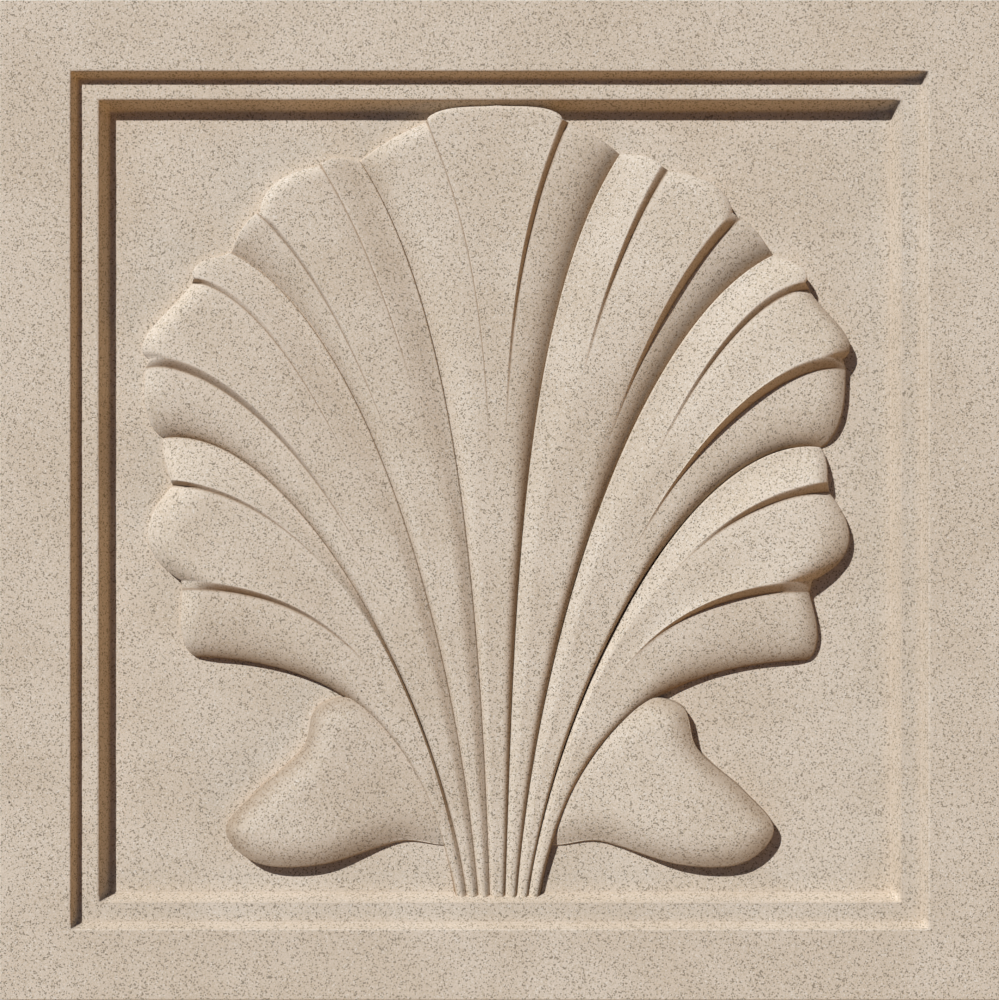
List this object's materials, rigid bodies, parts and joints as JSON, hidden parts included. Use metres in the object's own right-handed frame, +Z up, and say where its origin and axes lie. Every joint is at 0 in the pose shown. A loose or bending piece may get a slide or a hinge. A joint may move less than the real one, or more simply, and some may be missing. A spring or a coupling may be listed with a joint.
{
  "type": "shell wall panel",
  "caption": "Square cast stone wall panel with a fluted shell in relief, two lower leaves and a recess with a stepped edge",
  "frame": {"origin": "the centre of the flat back, where the wall's face is", "axes": "+Z up, +X to the right as seen from the front, +Y into the wall, so the carved face looks along -Y"},
  "size_m": [0.6, 0.075, 0.6],
  "materials": {
    "cast_stone": "sand-coloured cast stone, fine sandy grain, matte"
  },
  "bodies": {
    "root": {"carved_panel": "cast_stone"}
  },
  "joints": []
}
